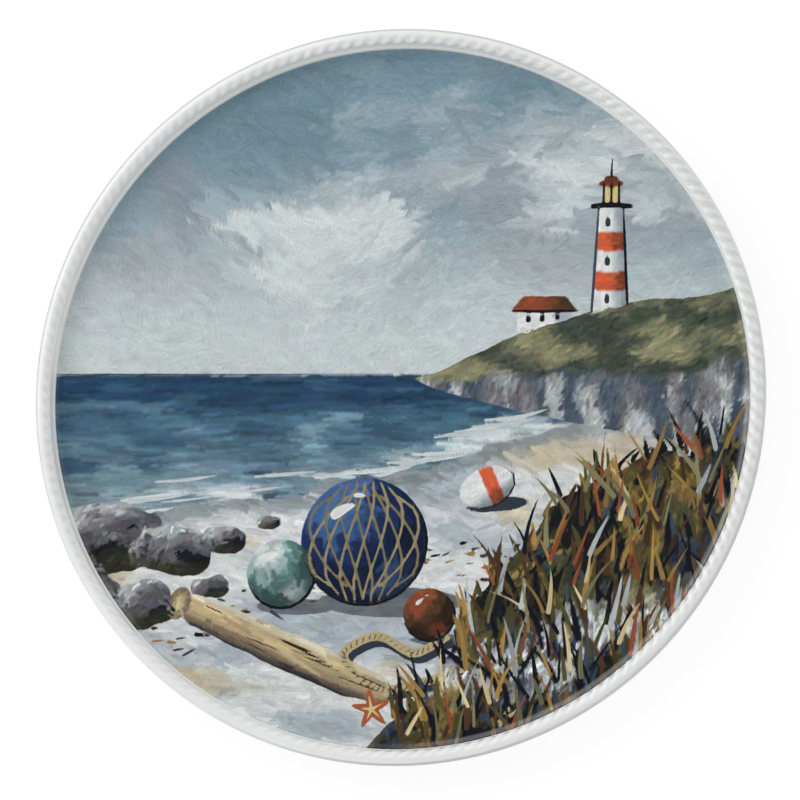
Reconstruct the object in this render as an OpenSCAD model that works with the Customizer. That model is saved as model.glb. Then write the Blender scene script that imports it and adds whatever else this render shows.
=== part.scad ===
// Round glazed souvenir plate: a shallow flat dish with a twisted rope bead on its rim,
// a foot ring with two cord holes behind, and a printed transfer that covers the well.
// Millimetres. +Z points out of the well, +Y is the top of the picture, and the
// origin is the centre of the plane that the foot stands on.

/* [Plate] */
// Outer diameter, over the rope rim
plate_d = 203.2; // [160:0.1:320]
// Thickness of the floor under the picture
floor_t = 4; // [2.6:0.1:8]
// Radius of the cove between the floor and the wall
cove_r = 3.4; // [1.6:0.1:8]
// Slope of the wall above the cove, from the horizontal
wall_angle = 32; // [20:1:60]
// Length of the straight slope between the cove and the picture's edge
wall_run = 0.5; // [0.1:0.1:6]

/* [Rope rim] */
// Thickness of the rope bead
rope_d = 4.2; // [3.4:0.1:8]
// Thickness of the wall where the rope is seated
wall_t = 3; // [2.2:0.1:4]
// Number of strands that show round the rim
rope_lobes = 168; // [90:1:220]
// Slant of the strands, measured from the radial direction
rope_slant = 30; // [-50:1:50]
// Depth of the grooves between the strands
rope_relief = 0.35; // [0.1:0.05:0.9]
// Width of the plain strip between the rope and the picture
strip_w = 0.5; // [0.3:0.1:8]
// Height that the plain strip climbs towards the rope
strip_rise = 0.75; // [0.2:0.05:3]

/* [Underside] */
// Radius of the rounded corner under the rim
under_r = 4; // [2:0.1:9]
// Height that the underside climbs from the foot ring to that corner
under_rise = 0.8; // [0:0.1:1.5]
// Diameter of the foot ring, along the middle of its bearing face
foot_d = 144; // [80:1:168]
// Height of the foot ring
foot_h = 4.5; // [4:0.1:10]
// Width of the flat bearing face
foot_face_w = 1.4; // [0.8:0.1:5]
// Radius of the bearing face's rounded edges
foot_edge_r = 0.7; // [0.2:0.05:1]
// Lean of the foot ring's sides
foot_draft = 12; // [2:1:25]
// Radius of the fillets where the foot ring meets the floor
foot_fillet_r = 1; // [0.3:0.1:1.6]

/* [Cord holes] */
// Diameter of the two hanging holes through the foot ring
hole_d = 2.2; // [1:0.1:2.6]
// Distance between the two holes
hole_gap = 22; // [10:1:50]
// Clearance between the top of a hole and the foot ring's fillets
hole_clear = 0.3; // [0.1:0.05:0.6]

/* [Picture] */
// Thickness of the fired transfer with its clear cover
transfer_t = 0.15; // [0.05:0.01:0.5]

/* [Hidden] */
$fn = 180;

// rope bead: its centre circle, and how far its middle lies above the seat
rope_r = rope_d / 2;
rope_ring_r = plate_d / 2 - rope_r;
rope_in_r = rope_ring_r - rope_r;
wall_out_r = rope_in_r + wall_t;
seat_drop = sqrt(rope_r * rope_r - (wall_t - rope_r) * (wall_t - rope_r));

// the cove's end, the picture's edge and the well's flat floor
cove_run = cove_r * sin(wall_angle);
cove_rise = cove_r * (1 - cos(wall_angle));
slope_run = wall_run * cos(wall_angle);
slope_rise = wall_run * sin(wall_angle);
slope_spare = 1;
picture_r = rope_in_r - strip_w;
well_r = picture_r - slope_run - cove_run;

// heights from the foot's bearing plane up
base_z = foot_h;
floor_z = base_z + floor_t;
picture_z = floor_z + cove_rise + slope_rise;
seat_z = picture_z + strip_rise;
rope_z = seat_z + seat_drop;
rim_under_z = base_z + under_rise;
corner_r = min(under_r, seat_z - rim_under_z);

// foot ring: half widths at the bearing face and at the root, and its fillets
foot_mid_r = foot_d / 2;
foot_face_half = foot_face_w / 2;
side_start_x = foot_face_half + foot_edge_r * cos(foot_draft);
side_start_z = foot_edge_r * (1 - sin(foot_draft));
fillet_z = foot_h - foot_fillet_r;
fillet_x = foot_side_x(fillet_z) + foot_fillet_r / cos(foot_draft);
fillet_steps = 4;
foot_root_r = foot_mid_r + fillet_x;

// cord holes: height, angle either side of the top, and a drill that clears both fillets
hole_z = fillet_point(0)[1] - hole_clear - hole_d / 2;
hole_angle = asin(hole_gap / 2 / foot_mid_r);
drill_over = 1;

// rope mesh: rings for each strand, points up the section, and where the strands fade out
rings_per_lobe = 3;
rope_rings = round(rope_lobes) * rings_per_lobe;
arc_points = 8;
strand_roundness = 1.2;
fade_from = 50;
fade_to = 115;

function foot_side_x(z) = side_start_x + (z - side_start_z) * tan(foot_draft);

// the open space over the well: a flat floor, the cove and the slope, drawn in by an inset
module well_space(inset) {
    cove_end = [
        well_r + (cove_r - inset) * sin(wall_angle),
        floor_z + cove_r - (cove_r - inset) * cos(wall_angle)
    ];
    slope_top = cove_end + (wall_run + slope_spare) * [cos(wall_angle), sin(wall_angle)];
    polygon([
        [0, floor_z + inset], [well_r, floor_z + inset],
        cove_end, slope_top, [0, slope_top[1]]
    ]);
    translate([well_r, floor_z + cove_r]) circle(r = cove_r - inset);
}

// what is turned away from the square corner under the rim
module corner_waste() {
    difference() {
        translate([wall_out_r - corner_r, rim_under_z]) square(corner_r + 1);
        translate([wall_out_r - corner_r, rim_under_z + corner_r]) circle(r = corner_r);
        translate([0, rim_under_z + corner_r]) square([wall_out_r, corner_r]);
    }
}

module plate_body() {
    color([0.93, 0.93, 0.91])
    rotate_extrude()
    difference() {
        polygon([
            [0, base_z], [foot_root_r, base_z],
            [wall_out_r - corner_r, rim_under_z], [wall_out_r, rim_under_z],
            [wall_out_r, seat_z], [rope_in_r, seat_z],
            [picture_r, picture_z], [0, picture_z]
        ]);
        well_space(0);
        corner_waste();
    }
}

// share of the strand relief at a section angle: none on the outer half, full on the inner side
function strand_share(angle) =
    let (t = max(0, min(1, (angle - fade_from) / (fade_to - fade_from))))
    t * t * (3 - 2 * t);

// distance round the section from the rope's outer edge, which the slant follows
function section_run(angle) = max(0, angle) * PI / 180 * rope_r;

// the section, as [x, z, share of relief, distance round, direction of the relief]:
// a round bead whose inner side drops straight to the seat
rope_start = -asin(seat_drop / rope_r);
rope_section = concat(
    [for (j = [0 : arc_points - 1])
        let (a = rope_start + j * (180 - rope_start) / (arc_points - 1))
        [rope_r * cos(a), rope_r * sin(a), strand_share(a), section_run(a), a]],
    [[-rope_r, -seat_drop, 0, section_run(180) + seat_drop, 180]]
);

// height of a strand at a share of its pitch: rounded on top, with a narrow groove
function strand_height(share) = pow(sin(180 * share), strand_roundness);

function rope_point(ring, p) =
    let (
        depth = rope_relief * p[2] * (1 - strand_height((ring % rings_per_lobe) / rings_per_lobe)),
        r = rope_ring_r + p[0] - depth * cos(p[4]),
        lead = tan(rope_slant) * p[3] / rope_ring_r * 180 / PI,
        turn = ring * 360 / rope_rings + lead
    )
    [r * cos(turn), r * sin(turn), rope_z + p[1] - depth * sin(p[4])];

module rope_rim() {
    side = len(rope_section);
    points = [for (i = [0 : rope_rings - 1]) for (p = rope_section) rope_point(i, p)];
    faces = [for (i = [0 : rope_rings - 1]) for (j = [0 : side - 1])
        let (
            here = i * side,
            next = ((i + 1) % rope_rings) * side,
            up = (j + 1) % side
        )
        for (face = [[here + j, here + up, next + j], [next + j, here + up, next + up]]) face];
    color([0.96, 0.96, 0.95]) polyhedron(points, faces);
}

// points round a root fillet, from the ring's side to the floor
function fillet_point(i) =
    let (a = 180 - foot_draft - i * (90 - foot_draft) / fillet_steps)
    [fillet_x, fillet_z] + foot_fillet_r * [cos(a), sin(a)];

// one side of the foot ring's section, measured out from the middle of the ring: a rounded
// bearing edge, a leaning side and a fillet at the root
module foot_half() {
    translate([foot_face_half, foot_edge_r]) circle(r = foot_edge_r);
    polygon(concat(
        [
            [-foot_face_half, 0], [foot_face_half, 0], [foot_face_half, foot_edge_r],
            [side_start_x, side_start_z]
        ],
        [for (i = [0 : fillet_steps]) fillet_point(i)],
        [[-foot_face_half, foot_h]]
    ));
}

module cord_hole(angle) {
    rotate([0, 0, 90 + angle])
    translate([foot_mid_r - fillet_x - drill_over, 0, hole_z])
    rotate([0, 90, 0]) cylinder(h = 2 * (fillet_x + drill_over), d = hole_d);
}

module foot_ring() {
    color([0.9, 0.9, 0.87])
    difference() {
        rotate_extrude() translate([foot_mid_r, 0]) {
            foot_half();
            mirror([1, 0]) foot_half();
        }
        for (angle = [-hole_angle, hole_angle]) cord_hole(angle);
    }
}

// the printed film lies on the floor, round the cove and up the slope to its edge
module picture_transfer() {
    color([0.5, 0.6, 0.66])
    rotate_extrude()
    intersection() {
        difference() {
            well_space(0);
            well_space(transfer_t);
        }
        square([picture_r + 1, picture_z]);
    }
}

plate_body();
rope_rim();
foot_ring();
picture_transfer();
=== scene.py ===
# Souvenir plate: white glazed body, twisted rope rim, foot ring and a painted coast under the glaze.
import math

import bpy
import numpy as np
from mathutils import Matrix, Vector


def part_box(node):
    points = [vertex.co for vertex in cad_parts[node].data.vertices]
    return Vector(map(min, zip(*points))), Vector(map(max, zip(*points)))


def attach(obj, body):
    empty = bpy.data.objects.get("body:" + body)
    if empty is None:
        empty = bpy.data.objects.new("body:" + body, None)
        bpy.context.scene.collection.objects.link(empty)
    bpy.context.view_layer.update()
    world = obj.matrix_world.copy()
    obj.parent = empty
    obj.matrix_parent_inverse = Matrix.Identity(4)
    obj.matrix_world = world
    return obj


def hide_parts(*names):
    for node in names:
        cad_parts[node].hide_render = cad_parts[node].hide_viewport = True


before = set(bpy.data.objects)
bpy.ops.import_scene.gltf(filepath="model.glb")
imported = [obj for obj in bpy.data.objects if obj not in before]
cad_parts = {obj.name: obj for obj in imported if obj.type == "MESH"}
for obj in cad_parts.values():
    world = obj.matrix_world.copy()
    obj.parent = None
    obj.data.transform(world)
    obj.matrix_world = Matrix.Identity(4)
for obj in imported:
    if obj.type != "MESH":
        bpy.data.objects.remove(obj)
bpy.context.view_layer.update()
mm = 0.001
print("frame loaded:", ", ".join(sorted(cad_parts)))

# heights and radii that the frame gives, in mm
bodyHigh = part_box("plate_body")[1] / mm
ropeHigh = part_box("rope_rim")[1] / mm
pictureLow, pictureHigh = (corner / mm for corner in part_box("picture_transfer"))
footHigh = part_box("foot_ring")[1] / mm
plateRadius = ropeHigh.x
wallRadius = bodyHigh.x
pictureRadius = pictureHigh.x
floorHeight, pictureHeight, seatHeight = pictureLow.z, pictureHigh.z, bodyHigh.z


# small helpers for meshes; every size given to them is in mm

def deselectAll():
    if bpy.context.object and bpy.context.object.mode != "OBJECT":
        bpy.ops.object.mode_set(mode="OBJECT")
    bpy.ops.object.select_all(action="DESELECT")


def startEditing(obj):
    deselectAll()
    obj.select_set(True)
    bpy.context.view_layer.objects.active = obj
    bpy.ops.object.mode_set(mode="EDIT")
    bpy.ops.mesh.select_mode(type="VERT")
    bpy.ops.mesh.select_all(action="DESELECT")


def meshPoints(obj):
    points = np.empty(len(obj.data.vertices) * 3)
    obj.data.vertices.foreach_get("co", points)
    return points.reshape(-1, 3)


def placePoints(obj, points):
    obj.data.vertices.foreach_set("co", np.ascontiguousarray(points * mm, dtype=np.float32).ravel())
    obj.data.update()


def addGrid(name, columns, rows):
    # a flat grid from -1 to 1 both ways, ready to be wrapped into shape
    deselectAll()
    bpy.ops.mesh.primitive_grid_add(x_subdivisions=columns, y_subdivisions=rows, size=2)
    obj = bpy.context.object
    obj.name = obj.data.name = name
    return obj


def extrudeRings(profile):
    # the open ring of edges is extruded to each next radius and height
    bpy.ops.mesh.select_non_manifold()
    for (radius, height), (nextRadius, nextHeight) in zip(profile, profile[1:]):
        bpy.ops.mesh.extrude_edges_move()
        grow = nextRadius / radius
        bpy.ops.transform.resize(value=(grow, grow, 1), center_override=(0, 0, height * mm))
        bpy.ops.transform.translate(value=(0, 0, (nextHeight - height) * mm))


def closeMesh(distance):
    bpy.ops.mesh.select_all(action="SELECT")
    bpy.ops.mesh.remove_doubles(threshold=distance * mm)
    bpy.ops.mesh.normals_make_consistent(inside=False)
    bpy.ops.object.mode_set(mode="OBJECT")


def keepValues(obj, name, values):
    # numbers at each vertex for the material to read: one, three or a colour of four
    kinds = {1: ("FLOAT", "value"), 3: ("FLOAT_VECTOR", "vector"), 4: ("FLOAT_COLOR", "color")}
    kind, field = kinds[1 if values.ndim == 1 else values.shape[1]]
    layer = obj.data.attributes.new(name, kind, "POINT")
    layer.data.foreach_set(field, np.ascontiguousarray(values, dtype=np.float32).ravel())


def finishPiece(obj, material, node):
    obj.data.materials.clear()
    obj.data.materials.append(material)
    deselectAll()
    obj.select_set(True)
    bpy.context.view_layer.objects.active = obj
    bpy.ops.object.shade_smooth_by_angle(angle=math.radians(40))
    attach(obj, "root")
    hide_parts(node)


def arc(middle, radius, start, end, steps):
    # points along an arc, angles in degrees from straight out
    angles = np.radians(np.linspace(start, end, steps + 1))
    return [(middle[0] + radius * math.cos(a), middle[1] + radius * math.sin(a)) for a in angles]


def bend(start, firstPull, lastPull, end, steps):
    # points along a Bezier curve
    t = np.linspace(0, 1, steps + 1)[:, None]
    a, b, c, d = (np.array(p, float) for p in (start, firstPull, lastPull, end))
    return (1 - t) ** 3 * a + 3 * t * (1 - t) ** 2 * b + 3 * t * t * (1 - t) * c + t ** 3 * d


def slope(value, low, high):
    # 0 below low, 1 above high and smooth between
    t = np.clip((value - low) / (high - low), 0, 1)
    return t * t * (3 - 2 * t)


# small helpers for materials

def plug(tree, value, socket):
    if isinstance(value, bpy.types.NodeSocket):
        tree.links.new(value, socket)
    else:
        socket.default_value = value


def addNode(tree, kind, inputs=None, **settings):
    node = tree.nodes.new("ShaderNode" + kind)
    for key, value in settings.items():
        setattr(node, key, value)
    for key, value in (inputs or {}).items():
        plug(tree, value, node.inputs[key])
    return node


def calc(tree, operation, *values, clamp=False):
    node = addNode(tree, "Math", operation=operation, use_clamp=clamp)
    for value, socket in zip(values, node.inputs):
        plug(tree, value, socket)
    return node.outputs[0]


def mixColors(tree, factor, first, second):
    node = addNode(tree, "Mix", data_type="RGBA")
    for value, index in ((factor, 0), (first, 6), (second, 7)):
        plug(tree, value, node.inputs[index])
    return node.outputs[2]


def remap(tree, value, low, high, newLow=0.0, newHigh=1.0):
    return addNode(tree, "MapRange", {
        "Value": value, "From Min": low, "From Max": high, "To Min": newLow, "To Max": newHigh
    }, clamp=True).outputs[0]


def noise(tree, vector, size, detail=2.0):
    # grey noise with features of that size
    return addNode(tree, "TexNoise", {"Vector": vector, "Scale": 1 / size, "Detail": detail}).outputs[0]


def attribute(tree, name, output):
    return addNode(tree, "Attribute", attribute_name=name).outputs[output]


def bumped(tree, height, look):
    # the normal of a surface with those ripples
    node = addNode(tree, "Bump", {"Height": height, "Strength": look["strength"], "Distance": look["rise"]})
    return node.outputs["Normal"]


def addGroup(name, inputs, outputs):
    # a shader node group with named sockets, each with its kind
    tree = bpy.data.node_groups.new(name, "ShaderNodeTree")
    for way, sockets in (("INPUT", inputs), ("OUTPUT", outputs)):
        for label, kind in sockets.items():
            tree.interface.new_socket(label, in_out=way, socket_type="NodeSocket" + kind)
    return tree, tree.nodes.new("NodeGroupInput").outputs, tree.nodes.new("NodeGroupOutput").inputs


def useGroup(tree, group, inputs):
    node = tree.nodes.new("ShaderNodeGroup")
    node.node_tree = group
    for key, value in inputs.items():
        plug(tree, value, node.inputs[key])
    return node.outputs


def addMaterial(name):
    material = bpy.data.materials.new(name)
    material.use_nodes = True
    tree = material.node_tree
    place = addNode(tree, "VectorMath", {
        0: addNode(tree, "TexCoord").outputs["Object"], 3: 1 / mm
    }, operation="SCALE").outputs[0]
    return material, tree, tree.nodes["Principled BSDF"], place  # place is in mm

# camera: nearly square to the plate, from the picture's lower right, with its lines kept level;
# it aims at a point given in mm from the rope's crest over the plate's middle
camera = {
    "distance": 1.5, "azimuth": -31.4, "tilt": 11.8, "lens": 246.4, "aim": (0.9, -1.4, -2.0),
    "nearest": 0.05, "farthest": 50
}
tilt, azimuth = math.radians(camera["tilt"]), math.radians(camera["azimuth"])
away = Vector((math.sin(tilt) * math.cos(azimuth), math.sin(tilt) * math.sin(azimuth), math.cos(tilt)))
up = away.cross(Vector((1, 0, 0))).normalized()
right = up.cross(away)
aim = (Vector(camera["aim"]) + Vector((0, 0, ropeHigh.z))) * mm
bpy.ops.object.camera_add(location=aim + away * camera["distance"])
cam = bpy.context.object
cam.name = "camera"
cam.rotation_euler = Matrix((right, up, away)).transposed().to_euler()
cam.data.lens = camera["lens"]
cam.data.clip_start = camera["nearest"]
cam.data.clip_end = camera["farthest"]
bpy.context.scene.camera = cam

# studio: a pale floor that curves up into a low wall, four soft lamps and a white tent for a
# world; lengths are in mm
studio = {
    "floorStart": 600, "floorSides": 128, "floorRadius": 2600, "wallHeight": 1100,
    "cornerRadius": 700, "cornerSteps": 12, "floorLift": 0.87, "shadowDepth": 0.15, "paper": 0.55,
    "paperRoughness": 0.9, "tentColor": (0.97, 0.985, 1.0, 1), "tentSides": 1.05, "tentTop": 0.12,
    "tentDarkens": (0.64, 0.93),  # from which height to which on a sphere of 1
    "lamps": {  # power in W, size and distance in m, azimuth and height in degrees
        "key_lamp": (13.0, 1.6, 2.0, 140, 42), "edge_lamp": (6.0, 1.4, 2.0, 160, 22),
        "fill_lamp": (9.0, 1.6, 2.0, 36, 20), "low_lamp": (8.0, 1.6, 2.0, 258, 22)
    }
}
deselectAll()
bpy.ops.mesh.primitive_circle_add(vertices=studio["floorSides"], radius=studio["floorStart"] * mm,
                                  fill_type="NGON")
floor = bpy.context.object
floor.name = "studio_floor"
startEditing(floor)
corner = (studio["floorRadius"] - studio["cornerRadius"], studio["cornerRadius"])
extrudeRings([(studio["floorStart"], 0), *arc(corner, corner[1], -90, 0, studio["cornerSteps"]),
              (studio["floorRadius"], studio["wallHeight"])])
bpy.ops.mesh.select_all(action="SELECT")
bpy.ops.mesh.normals_make_consistent(inside=True)
bpy.ops.object.mode_set(mode="OBJECT")
bpy.ops.object.shade_smooth()
paper, tree, shader, place = addMaterial("studio_paper")
shader.inputs["Roughness"].default_value = studio["paperRoughness"]
rays = addNode(tree, "LightPath").outputs
seen = calc(tree, "MAXIMUM", calc(tree, "MAXIMUM", rays["Is Camera Ray"], rays["Is Glossy Ray"]),
            rays["Is Transmission Ray"])
paperColor, shadowColor = ((*[studio[key]] * 3, 1) for key in ("paper", "shadowDepth"))
plug(tree, mixColors(tree, seen, paperColor, shadowColor), shader.inputs["Base Color"])
shader.inputs["Emission Color"].default_value = (1, 1, 1, 1)
plug(tree, calc(tree, "MULTIPLY", seen, studio["floorLift"]), shader.inputs["Emission Strength"])
floor.data.materials.append(paper)

# the tent: bright round the sides and darker overhead, where the camera looks in
world = bpy.data.worlds.new("light_tent")
world.use_nodes = True
bpy.context.scene.world = world
tent = world.node_tree
steep = addNode(tent, "SeparateXYZ", {0: addNode(tent, "TexCoord").outputs["Generated"]}).outputs[2]
tentLight = tent.nodes["Background"]
tentLight.inputs["Color"].default_value = studio["tentColor"]
plug(tent, remap(tent, steep, *studio["tentDarkens"], studio["tentSides"], studio["tentTop"]),
     tentLight.inputs["Strength"])

for name, (power, size, distance, turn, lift) in studio["lamps"].items():
    turn, lift = math.radians(turn), math.radians(lift)
    way = Vector((math.cos(turn) * math.cos(lift), math.sin(turn) * math.cos(lift), math.sin(lift)))
    bpy.ops.object.light_add(type="AREA", location=way * distance)
    lamp = bpy.context.object
    lamp.name = name
    lamp.rotation_euler = way.to_track_quat("Z", "Y").to_euler()
    lamp.data.shape = "DISK"
    lamp.data.size = size
    lamp.data.energy = power
bpy.context.scene.view_settings.view_transform = "Standard"
print("camera and studio ready")

# glaze: white, faintly cloudy, tinted where it lies thick, softly rippled, with a few specks;
# sizes are in mm, and a speck's in shares of the way between two of them
glazing = {
    "cloudSize": 22.0, "clouding": 0.22, "hazeSize": 5.0, "roughness": (0.10, 0.17),
    "rippleSizes": (3.2, 0.7), "fineShare": 0.18, "strength": 0.5, "rise": 0.00002,
    "specksPerMm": 0.16, "speckSize": (0.02, 0.04), "speckShare": 0.18, "speckColor": (0.32, 0.28, 0.22, 1),
    "grey": (0.3, 0.7),  # the noise values taken for its darkest and its lightest
    "refraction": 1.5
}


def glazeGroup():
    tree, given, out = addGroup(
        "glaze", {"Place": "Vector", "White": "Color", "Thick": "Color", "Pooling": "Float"},
        {"Color": "Color", "Roughness": "Float", "Normal": "Vector"})
    clouds = noise(tree, given["Place"], glazing["cloudSize"], 3.0)
    clouding = remap(tree, clouds, *glazing["grey"], 0.0, glazing["clouding"])
    clouded = mixColors(tree, clouding, given["White"], given["Thick"])
    pooled = mixColors(tree, given["Pooling"], clouded, given["Thick"])
    specks = addNode(tree, "TexVoronoi", {"Vector": given["Place"], "Scale": glazing["specksPerMm"]},
                     distance="EUCLIDEAN")
    speck = remap(tree, specks.outputs["Distance"], *glazing["speckSize"], glazing["speckShare"], 0.0)
    plug(tree, mixColors(tree, speck, pooled, glazing["speckColor"]), out["Color"])
    haze = noise(tree, given["Place"], glazing["hazeSize"], 3.0)
    plug(tree, remap(tree, haze, *glazing["grey"], *glazing["roughness"]), out["Roughness"])
    coarse, fine = (noise(tree, given["Place"], size, 1.0) for size in glazing["rippleSizes"])
    ripples = calc(tree, "ADD", coarse, calc(tree, "MULTIPLY", fine, glazing["fineShare"]))
    plug(tree, bumped(tree, ripples, glazing), out["Normal"])
    return tree


glaze = glazeGroup()


def glazedMaterial(name, white, thick, pooling):
    # pooling: how thick the glaze lies, as one share or as a function that makes the nodes for it;
    # on the rope it also carries painted shade in the grooves
    material, tree, shader, place = addMaterial(name)
    pooled = pooling(tree) if callable(pooling) else pooling
    made = useGroup(tree, glaze, {"Place": place, "White": white, "Thick": thick, "Pooling": pooled})
    for output, socket in (("Color", "Base Color"), ("Roughness", "Roughness"), ("Normal", "Normal")):
        plug(tree, made[output], shader.inputs[socket])
    shader.inputs["IOR"].default_value = glazing["refraction"]
    return material, tree, shader, place, made


# plate body: turned on the wheel from the underside round the rim to the well
body = {
    "segments": 512, "underRadius": 4.0, "underRise": 0.8, "underSteps": 14, "coveRadius": 3.4,
    "coveSteps": 8, "wallAngle": 32.0, "ropeThick": 4.2, "weld": 0.0005, "pooling": 0.15,
    "white": (0.82, 0.82, 0.80, 1), "thick": (0.72, 0.74, 0.72, 1)
}
baseHeight = footHigh.z
ropeSeatRadius = plateRadius - body["ropeThick"]
wallLean = math.radians(body["wallAngle"])
coveMiddle = floorHeight + body["coveRadius"]
coveTop = floorHeight + body["coveRadius"] * (1 - math.cos(wallLean))
slopeRun = (pictureHeight - coveTop) / math.tan(wallLean)
wellRadius = pictureRadius - slopeRun - body["coveRadius"] * math.sin(wallLean)
underMiddle = baseHeight + body["underRise"] + body["underRadius"]
bodyProfile = [
    (footHigh.x, baseHeight),
    *arc((wallRadius - body["underRadius"], underMiddle), body["underRadius"], -90, 0, body["underSteps"]),
    (wallRadius, seatHeight), (ropeSeatRadius, seatHeight), (pictureRadius, pictureHeight),
    *arc((wellRadius, coveMiddle), body["coveRadius"], body["wallAngle"] - 90, -90, body["coveSteps"])
]
deselectAll()
bpy.ops.mesh.primitive_circle_add(vertices=body["segments"], radius=footHigh.x * mm,
                                  location=(0, 0, baseHeight * mm), fill_type="NGON")
plateBody = bpy.context.object
plateBody.name = plateBody.data.name = "plate_body_glazed"
bpy.ops.object.transform_apply(location=True)
startEditing(plateBody)
extrudeRings(bodyProfile)
bpy.ops.mesh.edge_face_add()
closeMesh(body["weld"])
bodyGlaze = glazedMaterial("glaze_on_the_body", body["white"], body["thick"], body["pooling"])[0]
finishPiece(plateBody, bodyGlaze, "plate_body")
print("plate body turned,", len(plateBody.data.vertices), "points")

# rope rim: a bead of slanted strands, full on the inner side of the crest and smooth outside;
# they lie farther out, fade sooner, run deeper or swell over the strip on one side or another, as
# pressed by hand; glaze pools in the grooves, darkened further there as painted shade, and a line
# of painted shade follows the outer edge, stronger on some sides than on others
rope = {
    "strands": 168, "stepsPerStrand": 12, "beadSteps": 24, "slant": 30.0, "relief": 0.28,
    "uneven": 0.16, "seed": 4, "weld": 0.002,
    # how it laps over the strip and down the wall, and how it bends into the bead, in mm
    "lap": 0.7, "proud": 0.03, "footWidth": 0.5, "footPull": 0.35, "footSteps": 5,
    "stripPull": 0.9, "stripSteps": 6, "sunk": (0.25, 0.3),
    # degrees up the bead from straight out: the bead's own ends, where the grooves begin and end,
    # where the painted shade along the outer edge begins and ends, where the strands slant and where
    # they can swell
    "bead": (-38.0, 184.0), "begin": (75.0, 125.0), "end": (180.0, 215.0),
    "edgeFrom": (-30.0, -12.0), "edgeTo": (42.0, 49.0), "slanted": (0, 230), "swellFrom": (110, 160),
    # places round the rim: direction in degrees, how narrow the place is, and the change there,
    # in degrees for the first two and in mm for the swelling; for the deeper grooves, which also get
    # more pooled glaze and painted shade, and for the painted shade along the outer edge, it is a share
    "farther": ((12, 6, 70.0),), "sooner": ((25, 6, 65.0), (185, 3, 50.0)),
    "deeper": ((198, 12, 1.2), (42, 8, 0.8)), "swollen": ((316, 8, 0.25),),
    "edgeShadeBySide": ((135, 2, 0.6), (270, 25, 0.5), (20, 16, -0.8), (225, 10, -1.0), (308, 12, -0.3)),
    # below: how strong the painted shade along the outer edge is, and its grey (the last one); how the
    # grooves' share turns into glaze pooled there, darkened further as painted shade, and its grey (thick)
    "wear": 0.25, "wearTurn": 30.0, "edgeShadeStrength": 0.7, "pooled": (0.1, 1.0, 0.0, 0.75),
    "white": (0.84, 0.84, 0.825, 1), "thick": (0.64, 0.655, 0.63, 1), "paintedEdgeShade": (0.50, 0.50, 0.49, 1)
}
beadRadius = body["ropeThick"] / 2
beadMiddle = plateRadius - beadRadius
beadHeight = ropeHigh.z - beadRadius


def onBead(angle):
    a = math.radians(angle)
    return np.array([beadMiddle + beadRadius * math.cos(a), beadHeight + beadRadius * math.sin(a)])


def alongBead(angle):
    a = math.radians(angle)
    return np.array([-math.sin(a), math.cos(a)])


# its section, from the foot on the body's wall over the bead to the strip, and back underneath
beadStart, beadEnd = rope["bead"]
stripWay = np.array([pictureRadius - ropeSeatRadius, pictureHeight - seatHeight])
stripEnd = np.array([ropeSeatRadius, seatHeight]) + rope["lap"] * stripWay + (0.0, rope["proud"])
outerFoot = np.array([wallRadius + rope["proud"], seatHeight - rope["footWidth"]])
section = np.array([
    *bend(outerFoot, outerFoot + (0, rope["footPull"]),
          onBead(beadStart) - rope["footPull"] * alongBead(beadStart), onBead(beadStart),
          rope["footSteps"])[:-1],
    *[onBead(angle) for angle in np.linspace(beadStart, beadEnd, rope["beadSteps"] + 1)],
    *bend(onBead(beadEnd), onBead(beadEnd) + rope["stripPull"] * alongBead(beadEnd),
          stripEnd - 0.5 * stripWay, stripEnd, rope["stripSteps"])[1:],
    stripEnd - (0.0, rope["sunk"][0]), (beadMiddle, seatHeight - rope["sunk"][1]), outerFoot
])

# a grid is wrapped round the plate: its columns are steps round the rim, its rows the section's
ropeRim = addGrid("rope_rim_glazed", rope["strands"] * rope["stepsPerStrand"], len(section) - 1)
flat = meshPoints(ropeRim)
turnShare = (flat[:, 0] + 1) / 2
step = (flat[:, 1] + 1) / 2 * (len(section) - 1)
before = np.clip(np.floor(step + 1e-6).astype(int), 0, len(section) - 2)
between = np.clip(step - before, 0, 1)[:, None]
ring = section[before] * (1 - between) + section[before + 1] * between
tangents = np.gradient(section, axis=0)
tangents /= np.linalg.norm(tangents, axis=1, keepdims=True) + 1e-9
outward = np.column_stack([tangents[:, 1], -tangents[:, 0]])[np.round(step).astype(int) % len(section)]
sectionAngle = np.degrees(np.arctan2(ring[:, 1] - beadHeight, ring[:, 0] - beadMiddle))
sectionAngle = np.where(sectionAngle < -100, sectionAngle + 360, sectionAngle)   # on past 180
around = 2 * math.pi * turnShare


def onSide(turn, focus):
    # 1 on that side of the plate and less farther round
    return (0.5 + 0.5 * np.cos(around - math.radians(turn))) ** focus


def changes(places):
    return sum(change * onSide(turn, focus) for turn, focus, change in places)


# how deep the grooves are at each point
moved = sectionAngle + changes(rope["farther"])
ending = slope(sectionAngle + changes(rope["sooner"]), *rope["end"])
stepsLeft = len(section) - 3.5 - step   # before the end on the strip
share = slope(moved, *rope["begin"]) * (1 - ending) * slope(stepsLeft, 0, 6)
share *= 1 - rope["wear"] * (1 - np.cos(around - math.radians(rope["wearTurn"])))
deeper = 1 + changes(rope["deeper"])
share *= deeper

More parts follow.
